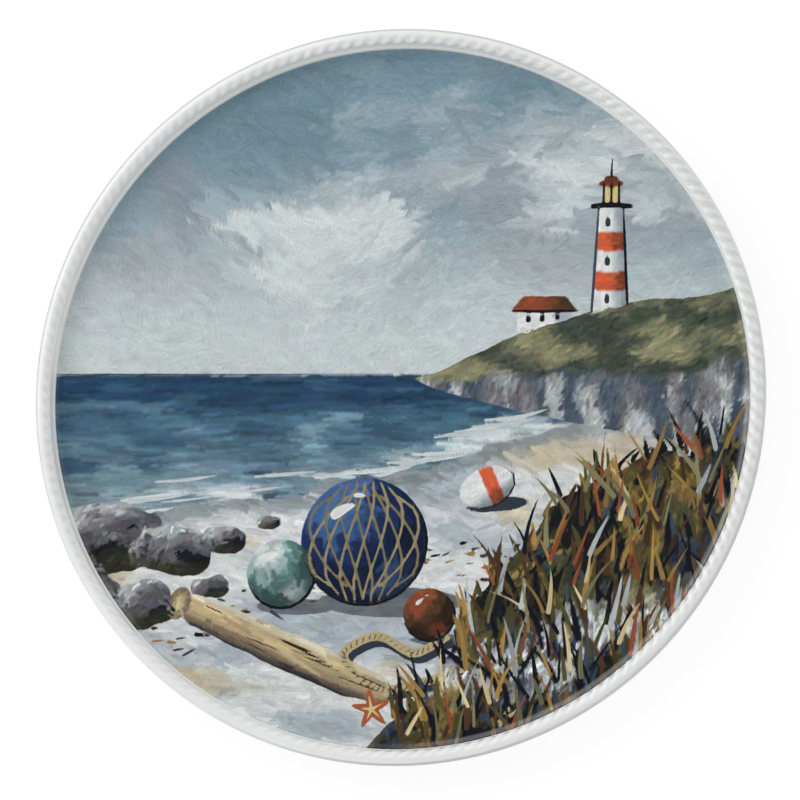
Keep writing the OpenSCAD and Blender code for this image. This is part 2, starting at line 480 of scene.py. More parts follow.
# the strands: their slant, their wave, and how unlike each other they are
run = np.clip(sectionAngle, *rope["slanted"]) * math.pi / 180 * beadRadius
lead = math.tan(math.radians(rope["slant"])) * run / beadMiddle / (2 * math.pi)
turns = turnShare + lead
strandPlace = turnShare * rope["strands"]
strandWave = 0.5 - 0.5 * np.cos(2 * math.pi * strandPlace)
dice = np.random.default_rng(rope["seed"])
unevenness = 1 + rope["uneven"] * dice.standard_normal(rope["strands"])
reliefHere = rope["relief"] * unevenness[np.floor(strandPlace + 1e-6).astype(int) % rope["strands"]]
reliefHere = np.where(strandWave < 1e-6, rope["relief"], reliefHere)
sink = reliefHere * share * (1 - strandWave)
sink -= (changes(rope["swollen"]) * strandWave * slope(sectionAngle, *rope["swellFrom"])
         * slope(stepsLeft, 0, 3))
radius = ring[:, 0] - outward[:, 0] * sink
height = ring[:, 1] - outward[:, 1] * sink
angle = 2 * math.pi * turns
placePoints(ropeRim, np.column_stack([radius * np.cos(angle), radius * np.sin(angle), height]))
# how much darker glaze lies in the grooves: glaze pooled there and painted shade in them, the more where
# the grooves run deeper
keepValues(ropeRim, "pooling", share * (1 - strandWave / deeper) * (1 - slope(moved, *rope["end"])))
# painted shade along the bead's outer edge, where it turns down away from the light from above; stronger on
# some sides of the plate and weaker on others
edgeShading = slope(sectionAngle, *rope["edgeFrom"]) * (1 - slope(sectionAngle, *rope["edgeTo"]))
for turn, focus, change in rope["edgeShadeBySide"]:
    edgeShading *= 1 + change * onSide(turn, focus)
keepValues(ropeRim, "edgeShadeShare", rope["edgeShadeStrength"] * edgeShading)
startEditing(ropeRim)
closeMesh(rope["weld"])


# the grooves' pooled glaze with its painted shade, as a share of the thick grey
def ropePoolAndShade(tree):
    return remap(tree, attribute(tree, "pooling", "Fac"), *rope["pooled"])


ropeGlaze, tree, shader, place, made = glazedMaterial("glaze_on_the_rope", rope["white"], rope["thick"],
                                                      ropePoolAndShade)
# the painted shade along the outer edge darkens the glaze's colour there
paintedEdgeShade = attribute(tree, "edgeShadeShare", "Fac")
plug(tree, mixColors(tree, paintedEdgeShade, made["Color"], rope["paintedEdgeShade"]), shader.inputs["Base Color"])
finishPiece(ropeRim, ropeGlaze, "rope_rim")
print("rope rim laid,", len(ropeRim.data.vertices), "points")

# foot ring: the frame's own solid, glazed, with the bearing face wiped bare up to a wavering edge
foot = {
    "bareTo": 0.35, "edgeWidth": 0.15, "waverSize": 2.0, "waver": 0.3, "gritSize": 0.25,
    "bareColors": ((0.62, 0.56, 0.47, 1), (0.72, 0.67, 0.58, 1)), "bareRoughness": 0.6,
    "pooling": 0.1, "white": (0.79, 0.79, 0.77, 1)
}
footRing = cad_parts["foot_ring"]
footGlaze, tree, shader, place, made = glazedMaterial("glaze_on_the_foot", foot["white"], body["thick"],
                                                      foot["pooling"])
heightAbove = addNode(tree, "SeparateXYZ", {0: place}).outputs[2]
edge = calc(tree, "ADD", heightAbove,
            calc(tree, "MULTIPLY", noise(tree, place, foot["waverSize"]), foot["waver"]))
bare = remap(tree, edge, foot["bareTo"], foot["bareTo"] + foot["edgeWidth"], 1.0, 0.0)
grit = noise(tree, place, foot["gritSize"], 3.0)
bareColor = mixColors(tree, grit, *foot["bareColors"])
plug(tree, mixColors(tree, bare, made["Color"], bareColor), shader.inputs["Base Color"])
rougher = calc(tree, "MULTIPLY", bare, foot["bareRoughness"])
plug(tree, calc(tree, "ADD", made["Roughness"], rougher, clamp=True), shader.inputs["Roughness"])
footRing.data.materials.clear()
footRing.data.materials.append(footGlaze)
print("foot ring glazed")

# the picture's paint: a sheet of small squares in mm, x to the right and y up, on which strokes
# are laid in layers, each with its colour, its distance in from the edge and its own directions
painting = {
    "sheetStep": 0.36, "sheetReach": 97.9, "seed": 21, "horizon": 6.0, "dryEnd": 0.3,
    "lineStep": 2.5,
    "colors": {  # red, green and blue as seen on screen, up to 255
        "skyHigh": (117, 144, 157), "skyLow": (172, 183, 187), "cloud": (205, 212, 212),
        "cloudShade": (150, 161, 168), "mauve": (150, 144, 149), "haze": (199, 207, 207),
        "seaFar": (38, 68, 95), "seaMid": (74, 107, 127), "seaNear": (110, 133, 144),
        "foam": (207, 214, 215), "sand": (208, 211, 210), "sandShade": (160, 170, 178),
        "sandWarm": (192, 178, 148), "wetSand": (128, 137, 140), "night": (15, 19, 26),
        "slate": (58, 68, 82), "stone": (100, 99, 104), "stoneLight": (168, 172, 174),
        "ochre": (150, 120, 66), "olive": (78, 74, 43), "umber": (72, 52, 35), "straw": (198, 182, 138),
        "grassLight": (118, 116, 84), "grassDark": (48, 56, 45), "rust": (140, 74, 48),
        "orange": (202, 92, 58), "navy": (24, 42, 82), "navyLight": (66, 100, 146),
        "glass": (84, 122, 118), "wood": (184, 164, 126), "woodShade": (112, 98, 84),
        "white": (218, 221, 219), "lamp": (206, 190, 132)
    }
}
sheetStep, sheetReach = painting["sheetStep"], painting["sheetReach"]
sheetLine = np.arange(-sheetReach, sheetReach + sheetStep, sheetStep)
sheetX, sheetY = np.meshgrid(sheetLine, sheetLine)
dice = np.random.default_rng(painting["seed"])
tones = {name: np.array(color) / 255 for name, color in painting["colors"].items()}


def softNoise(x, y, size, seed):
    # smooth grey noise from 0 to 1, with features of that size
    lattice = np.random.default_rng(seed).random((64, 64))
    column, row = np.floor(x / size).astype(int), np.floor(y / size).astype(int)
    s, t = x / size - column, y / size - row
    s, t = s * s * (3 - 2 * s), t * t * (3 - 2 * t)
    corner = [[lattice[(row + i) % 64, (column + j) % 64] for j in (0, 1)] for i in (0, 1)]
    return ((corner[0][0] * (1 - s) + corner[0][1] * s) * (1 - t)
            + (corner[1][0] * (1 - s) + corner[1][1] * s) * t)


def cloudNoise(x, y, size, seed):
    # the same noise with finer and finer noise added
    shares = (1, 0.5, 0.25, 0.125)
    total = sum(share * softNoise(x, y, size * share, seed + k) for k, share in enumerate(shares))
    return total / sum(shares)


def patches(size, seed, low, high, squeezeX=1.0, squeezeY=1.0):
    # soft patches of 1 on 0: the wider from low to high, the softer their edges
    return slope(cloudNoise(sheetX * squeezeX, sheetY * squeezeY, size, seed), low, high)


def mixTones(first, second, share):
    return first + (second - first) * np.asarray(share)[..., None]


def veil(under, tone, share, shade=1.0):
    # that share of one tone over what lies under it
    return mixTones(under, tones[tone] * shade, share)


def throughPoints(x, points):
    # height at x of a smooth line through the points
    px, py = np.array(points, float).T
    steep = np.gradient(py, px)
    i = np.clip(np.searchsorted(px, x) - 1, 0, len(px) - 2)
    width = px[i + 1] - px[i]
    t = np.clip((x - px[i]) / width, 0, 1)
    return ((1 + 2 * t) * (1 - t) ** 2 * py[i] + t * (1 - t) ** 2 * width * steep[i]
            + t * t * (3 - 2 * t) * py[i + 1] + t * t * (t - 1) * width * steep[i + 1])


def lengthsAlong(points):
    # how far each point is along the line through them
    return np.concatenate([[0], np.cumsum(np.hypot(*np.diff(points, axis=0).T))])


def alongLine(points, lengths, marks):
    # the smooth line's own points at those lengths along it
    return np.column_stack([throughPoints(marks, np.column_stack([lengths, points[:, i]])) for i in (0, 1)])


def newLayer():
    layer = {name: np.zeros(sheetX.shape) for name in ("along", "across")}
    return {**layer, "cover": np.full(sheetX.shape, -9.0), "color": np.zeros((*sheetX.shape, 3))}


def widthAt(t, width, ends):
    # how wide a stroke is at t, from 0 at its start to 1 at its end; the smaller the two numbers
    # of its ends, the blunter they are
    top = ends[0] / (ends[0] + ends[1])
    full = top ** ends[0] * (1 - top) ** ends[1]
    return width * t ** ends[0] * (1 - t) ** ends[1] / full


def brush(layer, x, y, angle, length, width, color, bend=0.0, ends=(0.25, 0.35), clip=None):
    # one stroke from its start, with its direction in degrees and its bend in 1 / mm
    a = math.radians(angle)
    middleX, middleY = x + math.cos(a) * length / 2, y + math.sin(a) * length / 2
    reach = length / 2 + width + abs(bend) * length * length / 2 + 1
    rows, columns = [slice(max(0, int((value - reach + sheetReach) / sheetStep)),
                           max(0, int((value + reach + sheetReach) / sheetStep) + 2))
                     for value in (middleY, middleX)]
    part = rows, columns
    if not sheetX[part].size:
        return
    fromX, fromY = sheetX[part] - x, sheetY[part] - y
    along = fromX * math.cos(a) + fromY * math.sin(a)
    across = fromY * math.cos(a) - fromX * math.sin(a) - bend * along * along / 2
    half = widthAt(np.clip(along / length, 0.001, 0.999), width / 2, ends)
    cover = (half - np.abs(across)) * (1 + np.clip(np.abs(across) / (half + 0.01), 0, 1))
    cover = np.minimum(cover, np.minimum(along, (length - along) * painting["dryEnd"]))
    if clip is not None:
        cover = np.minimum(cover, clip[part])
    old = layer["cover"][part]
    wet = (cover > 0) | (cover > old)
    layer["color"][part][wet] = color
    layer["along"][part][wet] = along[wet]
    layer["across"][part][wet] = across[wet]
    old[wet] = np.maximum(old, cover)[wet]


def at(values, x, y):
    # the sheet's value nearest to a point
    row, column = (int(round((value + sheetReach) / sheetStep)) for value in (y, x))
    last = len(sheetLine) - 1
    return values[min(max(row, 0), last), min(max(column, 0), last)]


def fill(layer, region, colors, angles, length, width, spacing, spread=12.0, uneven=0.04, keep=1.0,
         bend=0.0):
    # strokes all over a region, each with the colour and direction found at its middle;
    # a full one gets a plain coat first, so that no ground shows between the strokes
    if keep == 1:
        coat = region > 0
        layer["color"][coat] = colors[coat] if colors.ndim == 3 else colors
        layer["along"][coat], layer["across"][coat] = sheetX[coat], sheetY[coat]
        layer["cover"][coat] = np.maximum(layer["cover"], np.minimum(region, 1.5))[coat]
    centers = np.arange(-sheetReach, sheetReach, spacing)
    places = np.array([(x, y) for y in centers for x in centers])
    places += dice.uniform(-0.5, 0.5, places.shape) * spacing
    dice.shuffle(places)
    for x, y in places:
        if x * x + y * y > (sheetReach + length / 2) ** 2 or dice.random() > keep:
            continue
        if at(region, x, y) < 0:
            continue
        angle = (at(angles, x, y) if isinstance(angles, np.ndarray) else angles) + dice.normal(0, spread)
        long, wide = length * dice.uniform(0.6, 1.3), width * dice.uniform(0.6, 1.3)
        base = at(colors, x, y) if colors.ndim == 3 else colors
        color = base * (1 + dice.normal(0, uneven)) + dice.normal(0, uneven / 9, 3)
        a = math.radians(angle)
        brush(layer, x - math.cos(a) * long / 2, y - math.sin(a) * long / 2, angle, long, wide,
              np.clip(color, 0, 1), bend * dice.normal(), clip=region)


def drawLine(layer, points, width, color, ends, clip=None):
    # a long stroke along a smooth line through the points, made of short ones
    points = np.array(points, float)
    lengths = lengthsAlong(points)
    marks = np.linspace(0, lengths[-1], max(3, int(lengths[-1] / painting["lineStep"])))
    path = alongLine(points, lengths, marks)
    for k, (start, stop) in enumerate(zip(path, path[1:])):
        wide = widthAt((k + 0.5) / (len(path) - 1), width, ends)
        way = stop - start
        long = math.hypot(*way)
        overlap = wide * 0.3 / long
        brush(layer, *(start - way * overlap), math.degrees(math.atan2(way[1], way[0])),
              long * (1 + 3 * overlap), wide, color, ends=(0.02, 0.02), clip=clip)


def oval(x, y, width, height, turn=0.0, sharp=2.0):
    # the distance in from an oval's edge, and the place in it across and up, 1 at its ends
    a = math.radians(turn)
    u = ((sheetX - x) * math.cos(a) + (sheetY - y) * math.sin(a)) / width
    v = ((sheetY - y) * math.cos(a) - (sheetX - x) * math.sin(a)) / height
    return (1 - (np.abs(u) ** sharp + np.abs(v) ** sharp) ** (1 / sharp)) * min(width, height), u, v


def outline(x, y, width, height, turn, start, end, count):
    # points along a part of an oval's edge, from one angle in it to another
    a = math.radians(turn)
    return [(x + width * math.cos(b) * math.cos(a) - height * math.sin(b) * math.sin(a),
             y + width * math.cos(b) * math.sin(a) + height * math.sin(b) * math.cos(a))
            for b in np.linspace(start, end, count)]


# the coast: its lines go through points of x and y in mm, and each shape made from them is kept
# as the distance in from its edge
coast = {
    "shore": [(-98, -40), (-60, -31), (-25, -26), (5, -19), (30, -12), (60, -7), (98, -5)],
    "landTop": [(4, 5), (14, 8), (26, 14), (38, 19), (52, 23), (66, 26), (80, 27), (98, 32)],
    "landFoot": [(4, 5), (16, 0), (34, -4), (60, -10), (98, -14)],
    "duneTop": [(-8, -98), (6, -84), (18, -64), (32, -45), (46, -30), (62, -20), (80, -14), (98, -12)],
    # cloud banks: middle, width and height, and how full
    "banks": [(-32, 42, 56, 25, 1.0), (58, 60, 42, 18, 0.9)],
    # rocks: middle, width, height and turn
    "rocks": [(-84, -40, 17, 10, 8), (-63, -43, 11, 7, -6), (-93, -56, 15, 10, 0), (-72, -58, 10, 6.5, 6),
              (-48, -40, 6, 3.5, 0), (-52, -53, 5, 3, 10), (-36, -35, 3.5, 2.0, 0)]
}
horizon = painting["horizon"]
shoreY = throughPoints(sheetX, coast["shore"])
ragged = softNoise(sheetX, sheetY, 9.0, 3) * 5 - 2.5 + softNoise(sheetX, sheetY, 2.5, 4) - 0.5
sea = np.minimum(horizon - sheetY, sheetY - shoreY - ragged)
beach = shoreY + ragged - sheetY
landTop = throughPoints(sheetX, coast["landTop"])
landFoot = throughPoints(sheetX, coast["landFoot"])
headland = np.minimum(landTop + ragged * 0.25 - sheetY, sheetY - landFoot - ragged * 0.3)
dune = (throughPoints(sheetX, coast["duneTop"]) + ragged * 1.2 - sheetY) * 0.7


def billows(x, y):
    return cloudNoise(x + 0.5 * y, y * 1.5, 46.0, 11)


# sky and its clouds, lit from the upper left
billow = billows(sheetX, sheetY)
behind = billows(sheetX - 5, sheetY + 5)
bank = sum(full * np.exp(-((sheetX - x) / wide) ** 2 - ((sheetY - y) / high) ** 2)
           for x, y, wide, high, full in coast["banks"])
mottle = cloudNoise(sheetX * 0.8, sheetY * 1.3, 26.0, 31)
sky = mixTones(tones["skyLow"], tones["skyHigh"], slope(sheetY, 12, 80))
sky = veil(sky, "mauve", 0.4 * slope(mottle, 0.52, 0.72))
sky = veil(sky, "skyHigh", 0.6 * slope(1 - mottle, 0.5, 0.75) * slope(sheetY, 30, 70), 0.93)
clouds = mixTones(tones["cloudShade"], tones["cloud"], slope(billow - behind, -0.09, 0.07))
sky = mixTones(sky, clouds, slope(billow + 0.42 * bank, 0.60, 0.88))
sky = veil(sky, "haze", 0.85 * (1 - slope(sheetY, 10, 52)))
skyWay = (softNoise(sheetX, sheetY, 42.0, 17) * 2 - 1) * 38 + 6

# sea: a dark band far off, paler towards the shore, with foam at its edge
far = np.maximum(horizon - sheetY, 0)
stripes = softNoise(sheetX * 0.2 + sheetY * 0.1, np.log(far + 3) * 9, 2.0, 41)
surf = 1 - slope(sheetY - shoreY - ragged, 1.0, 9.0)
water = mixTones(tones["seaFar"], tones["seaMid"], slope(far, 5, 15))
water = veil(water, "seaNear", slope(far, 13, 34))
water = veil(water, "seaNear", slope(stripes, 0.62, 0.9) * (0.25 + 0.55 * slope(far, 5, 16)), 1.22)
water = veil(water, "seaFar", 0.6 * slope(1 - stripes, 0.6, 0.9), 0.9)
water = veil(water, "foam", surf * slope(softNoise(sheetX * 0.35, sheetY, 3.2, 43), 0.35, 0.7))

# beach: pale sand with cool hollows, warm touches and a wet edge
hollows = cloudNoise(sheetX * 0.45 + sheetY * 0.2, sheetY, 13.0, 51)
sand = mixTones(tones["sand"], tones["sandShade"], 0.85 * slope(hollows, 0.5, 0.7))
sand = veil(sand, "sandWarm", 0.8 * patches(16.0, 53, 0.56, 0.72, 0.5))
sand = veil(sand, "wetSand", 0.85 * (1 - slope(beach, 2.0, 7.0)))

# headland: turf over pale cliffs
turf = mixTones(tones["grassDark"], tones["grassLight"], patches(12.0, 61, 0.4, 0.65, 1.0, 2))
cliff = mixTones(tones["stone"], tones["stoneLight"], patches(8.0, 63, 0.42, 0.6, 1.6, 0.7))
cliff = veil(cliff, "slate", slope(softNoise(sheetX * 1.8, sheetY * 0.5, 6.0, 64), 0.52, 0.72))
landShare = slope((sheetY - landFoot) / np.maximum(landTop - landFoot, 1) + ragged * 0.04, 0.42, 0.56)
land = veil(mixTones(cliff, turf, landShare), "haze", 0.1)

# dune: dark turf with sand between
ground = mixTones(tones["umber"], tones["olive"], patches(15.0, 71, 0.4, 0.6, 1.0, 1.3))
ground = veil(ground, "night", 0.9 * patches(11.0, 73, 0.44, 0.58))
ground = veil(ground, "slate", 0.7 * patches(13.0, 75, 0.55, 0.7))
ground = veil(ground, "ochre", 0.7 * patches(12.0, 77, 0.56, 0.7))
bareSand = slope(cloudNoise(sheetX * 0.5, sheetY * 1.1, 17.0, 79) - 0.5, 0.02, 0.10)
ground = mixTones(ground, sand, 0.9 * bareSand * slope(-sheetY, 48, 62))

# the layers from the lowest up, and the big areas; a fill has its strokes' length, width and
# spacing in mm after their directions
layers = {name: newLayer() for name in ("broad", "middle", "scape", "forms", "shaping", "lines", "lights")}
broad, middle, scape, forms, shaping, lines, lights = layers.values()
skyPart = np.minimum(sheetY - horizon + 0.3, 1.5 - headland)
sandPart = np.minimum(beach, 2.5 - dune)
fill(broad, skyPart, sky, skyWay, 15, 4.4, 3.4, spread=15, uneven=0.014, bend=0.02)
fill(middle, skyPart, sky, skyWay, 10, 2.2, 2.6, spread=17, uneven=0.018, keep=0.5, bend=0.03)
fill(broad, sea, water, 0.0, 16, 1.8, 2.0, spread=2.5, uneven=0.05)
fill(middle, sea, water, 0.0, 9, 0.9, 1.4, spread=3.5, uneven=0.09, keep=0.8)
fill(broad, sandPart, sand, -6.0, 11, 2.6, 2.4, spread=13, uneven=0.03)
fill(middle, sandPart, sand, -8.0, 6, 1.4, 1.9, spread=16, uneven=0.05, keep=0.7)
print("sky, sea and sand painted")

# headland, rocks and the ground of the dune
fill(scape, headland, land, 24.0, 5, 1.3, 1.2, spread=22, uneven=0.07)
landWay = np.where(landShare > 0.5, 20.0, 74.0)
fill(shaping, headland, land * 1.04, landWay, 3.2, 0.8, 1.1, spread=16, uneven=0.12, keep=0.75)
dry = np.full(sheetX.shape, 99.0)   # how far it is to the nearest thing on the sand
for k, (x, y, width, height, turn) in enumerate(coast["rocks"]):
    inside, u, v = oval(x, y, width, height, turn, 2.7)
    inside = inside + (softNoise(sheetX, sheetY, 3.5, 81 + k) - 0.5) * min(2.4, height * 0.5)
    dry = np.minimum(dry, -inside)
    rough = softNoise(sheetX, sheetY * 1.4, 5.0, 90 + k) - 0.5
    facets = np.floor(3.2 * (0.55 + 0.62 * v - 0.3 * u + 0.55 * rough)) / 3
    stone = mixTones(tones["night"], tones["stone"], slope(facets, -0.1, 0.5))
    stone = veil(stone, "stoneLight", slope(facets, 0.5, 1.1))
    stone = veil(stone, "olive", 0.5 * slope(-v, 0.1, 0.7))
    fill(scape, inside, stone, 35.0 - 60 * u, 4.5, 1.5, 1.3, spread=18, uneven=0.08)
    fill(shaping, inside, stone * 1.05, 30.0 - 60 * u, 2.6, 0.8, 1.3, spread=20, uneven=0.16, keep=0.6)
fill(scape, dune, ground, 62.0, 7, 1.7, 1.5, spread=26, uneven=0.12, bend=0.03)
fill(shaping, dune - 2, ground, 68.0, 5, 0.9, 1.6, spread=26, uneven=0.2, keep=0.7, bend=0.05)
print("headland, rocks and dune painted")

# lighthouse on the headland
lighthouse = {
    "x": 58.0, "foot": 22.0, "top": 52.0, "halfWidth": 5.0, "taper": 1.6, "intoHill": 0.6,
    "stripes": (31.5, 42.5), "stripeHalf": 2.6, "stripeBow": 0.02, "windows": (26.6, 37.0, 47.8),
    "bars": (-2.1, 0.0, 2.1)
}
night = tones["night"]
blunt = (0.05, 0.05)
towerX = lighthouse["x"]
aboveHill = sheetY - landTop + lighthouse["intoHill"]
rise = (sheetY - lighthouse["foot"]) / (lighthouse["top"] - lighthouse["foot"])
halfWidth = lighthouse["halfWidth"] - lighthouse["taper"] * rise
aside = (sheetX - towerX) / halfWidth
tower = np.minimum(np.minimum(lighthouse["top"] - sheetY, aboveHill), (1 - np.abs(aside)) * halfWidth)
walls = mixTones(tones["white"], tones["sandShade"] * 0.92, slope(aside, -0.2, 0.9))
fill(forms, tower, walls, 88.0, 5, 1.3, 1.1, spread=5, uneven=0.03)
stripeColor = mixTones(tones["orange"], tones["rust"] * 0.7, slope(aside, -0.1, 1.0))
for level in lighthouse["stripes"]:
    bowed = sheetY - level - lighthouse["stripeBow"] * (sheetX - towerX) ** 2
    stripe = np.minimum(tower + 0.3, lighthouse["stripeHalf"] - np.abs(bowed))
    fill(forms, stripe, stripeColor, 0.0, 4, 1.2, 0.9, spread=4, uneven=0.04)

# cottage beside it; a window is its middle, width and height
cottage = {
    "x": 40.0, "y": 20.5, "halfWidth": 7.5, "halfHeight": 3.4, "shadedFrom": 3.5, "eaves": 23.3,
    "ridge": 27.6, "roofHalf": 9.5, "roofTop": 11.5,
    "windows": ((35.6, 21.3, 1.5, 2.0), (39.4, 21.5, 1.5, 2.0), (43.6, 21.9, 1.4, 1.8))
}
fromHouse = np.abs(sheetX - cottage["x"])
house = np.minimum(cottage["halfWidth"] - fromHouse, cottage["halfHeight"] - np.abs(sheetY - cottage["y"]))
shaded = (sheetX > cottage["x"] + cottage["shadedFrom"]) * 0.8
plaster = mixTones(tones["white"], tones["sandShade"], shaded)
fill(forms, np.minimum(house, aboveHill), plaster, 4.0, 4, 1.2, 1.0, spread=8, uneven=0.03)
upRoof = sheetY - cottage["eaves"]
roof = np.minimum(upRoof, (1 - fromHouse / cottage["roofHalf"] - upRoof / cottage["roofTop"]) * 4.0)
tiles = mixTones(tones["rust"], tones["umber"], slope(sheetX, 38, 46))
fill(forms, np.minimum(roof, cottage["ridge"] - sheetY), tiles, 12.0, 4, 1.0, 0.9, spread=10, uneven=0.08)
for x, y, wide, high in cottage["windows"]:
    brush(lines, x, y - high / 2, 90, high, wide, night, ends=blunt)
drawLine(lines, [(31.2, 23.5), (40.0, 23.4), (49.0, 23.5)], 0.9, night, (0.1, 0.1))


def onTower(*points):
    return [(towerX + x, y) for x, y in points]


# the lighthouse's windows, gallery, lamp room, roof and outlines
for y in lighthouse["windows"]:
    brush(lines, towerX - 0.8, y - 1.1, 90, 2.6, 1.5, tones["slate"] * 0.8, ends=(0.1, 0.1))
drawLine(lines, onTower((-5.2, 52.3), (0, 52.7), (5.2, 52.3)), 1.5, night, blunt)
brush(forms, towerX, 52.8, 90, 5.6, 4.6, tones["lamp"], ends=(0.03, 0.03))
for x in lighthouse["bars"]:
    drawLine(lines, onTower((x, 53), (x, 56), (x, 58.6)), 0.8, night, blunt)
brush(forms, towerX - 3.6, 58.6, 0, 7.2, 2.0, tones["rust"] * 0.8, ends=(0.4, 0.4))
brush(forms, towerX - 2.0, 60.0, 0, 4.0, 1.6, tones["rust"] * 0.7, ends=(0.4, 0.4))
drawLine(lines, onTower((0, 60.5), (0, 62.5), (0.1, 65)), 0.8, night, (0.05, 0.3))
for side, tone in ((-1, "slate"), (1, "night")):
    edgeLine = onTower((side * 5.0, 23.0), (side * 4.2, 37), (side * 3.4, lighthouse["top"]))
    drawLine(lines, edgeLine, 0.9, tones[tone], (0.1, 0.2), clip=aboveHill)

# a driftwood log with a sawn end and cracks
driftwood = {
    "middle": (-28.0, -71.0), "halfLength": 36, "halfWidth": 5.2, "turn": -23, "squareness": 3.4,
    "sawnEnd": (-60.4, -57.3, 3.0, 4.7), "cracks": 9
}
log, u, v = oval(*driftwood["middle"], driftwood["halfLength"], driftwood["halfWidth"],
                 driftwood["turn"], driftwood["squareness"])
log = log - 0.9 * slope(u, 0.2, 1.0) + (softNoise(sheetX, sheetY, 5.0, 101) - 0.5)
dry = np.minimum(dry, -log)
woodGrain = softNoise(u * 60, v * 8, 2.2, 103) - 0.5
bark = mixTones(tones["wood"], tones["woodShade"], slope(-v + 0.5 * woodGrain, -0.1, 0.7))
bark = veil(bark, "night", 0.8 * slope(-v, 0.55, 0.95))
bark = veil(bark, "white", 0.5 * slope(v, 0.4, 0.8))
fill(forms, log, bark, driftwood["turn"], 11, 1.2, 1.1, spread=4, uneven=0.08)
sawn, u, v = oval(*driftwood["sawnEnd"], driftwood["turn"])
sawnColor = mixTones(tones["straw"], tones["woodShade"], slope(np.hypot(u, v), 0.2, 1.0))
fill(forms, sawn, sawnColor, 60.0, 3, 0.9, 0.9, spread=40, uneven=0.08)
alongLog, acrossLog = np.array((0.92, -0.39)), np.array((0.39, 0.92))
for k in range(driftwood["cracks"]):
    start = driftwood["middle"] + 34 * dice.uniform(-0.9, 0.5) * alongLog + dice.uniform(-3, 3) * acrossLog
    brush(lines, *start, driftwood["turn"] + dice.normal(0, 2), dice.uniform(8, 17), 0.6,
          tones["umber" if k % 3 else "night"], dice.normal(0, 0.003), (0.5, 0.5))

# net floats: middle, radius, and dark and light tone; the first has a net on it. A glint is its
# place, direction, length, width and bend, in radii but for the direction and the bend, and its ends
netFloats = [(-9.0, -40.0, 17.5, "navy", "navyLight"), (-32.0, -49.0, 9.5, "glass", "haze"),
             (9.5, -60.0, 7.2, "umber", "rust")]
glints = [(-0.52, 0.36, 48, 0.42, 0.16, -0.08, (0.3, 0.5)), (-0.18, 0.72, 8, 0.2, 0.08, -0.1, (0.25, 0.35))]
for x, y, radius, dark, light in netFloats:
    ball, u, v = oval(x, y, radius, radius)
    dry = np.minimum(dry, -ball - 0.6)
    glow = slope(-0.55 * u + 0.7 * v - 0.6 * (u * u + v * v), -0.75, 0.45)
    glass = mixTones(tones[dark] * 0.62, tones[dark], slope(glow, 0.1, 0.55))
    glass = veil(glass, light, slope(glow, 0.55, 0.98))
    glass = veil(glass, light, 0.8 * slope(-np.hypot(u - 0.42, v + 0.5), -0.42, -0.15), 0.8)
    fill(forms, ball, glass, np.degrees(np.arctan2(v, u)) + 90, radius * 0.5, max(1.5, radius * 0.13),
         max(1.0, radius * 0.11), spread=14, uneven=0.07, bend=0.05)
    for across, over, turn, long, wide, bow, ends in glints:
        brush(lights, x + radius * across, y + radius * over, turn, radius * long, radius * wide,
              tones["white"], bow, ends)
    drawLine(lines, outline(x, y, radius, radius, 0, -2.8, 0.9, 9), 0.9, night, (0.3, 0.4))
    shadow = oval(x + radius * 0.45, y - radius * 0.95, radius * 1.15, radius * 0.24)[0]
    fill(scape, shadow, tones["sandShade"] * 0.62, 2.0, 7, 1.2, 1.3, spread=8)
x, y, radius = netFloats[0][:3]
for cord in np.arange(-3, 4) / 3.6:
    for way, shade in ((-1, 0.62), (1, 0.75)):
        net = [(x + way * radius * (cord + 0.30 * s) * math.sqrt(max(0.02, 1 - s * s * 0.9)) * 0.98,
                y + radius * s * math.sqrt(max(0.05, 1 - 0.6 * cord * cord)))
               for s in np.linspace(-0.93, 0.93, 7)]
        net = [spot for spot in net if math.hypot(spot[0] - x, spot[1] - y) < radius * 0.97]
        if len(net) > 3:
            drawLine(lines, net, 0.75, tones["straw"] * shade, blunt)

# a buoy that lies tipped, with a band round it
buoy = {"x": 25.0, "y": -25.0, "halfLength": 8.0, "halfWidth": 5.4, "turn": 24}
buoyOval = [buoy[key] for key in ("x", "y", "halfLength", "halfWidth", "turn")]
hull, u, v = oval(*buoyOval)
dry = np.minimum(dry, -hull)
below = -v + 0.3 * u
hullColor = mixTones(tones["white"], tones["sandShade"] * 0.8, slope(below, 0.05, 0.8))
bandColor = mixTones(tones["orange"], tones["rust"] * 0.8, slope(below, 0.0, 0.9))
shadow = oval(buoy["x"] + 3, buoy["y"] - 4.8, 8.5, 2.0, 6)[0]
fill(scape, shadow, tones["slate"] * 0.8, 4.0, 5, 1.1, 1.1, spread=8)
fill(forms, hull, hullColor, buoy["turn"] + 20 * u, 4, 1.1, 0.9, spread=8, uneven=0.04)
band = np.minimum(hull, 1.9 - np.abs(u - 0.18) * 8)
fill(forms, band, bandColor, buoy["turn"] + 90, 3.5, 0.9, 0.8, spread=5, uneven=0.05)
drawLine(lines, outline(*buoyOval, -3.0, 1.0, 12), 0.7, night, (0.3, 0.4))

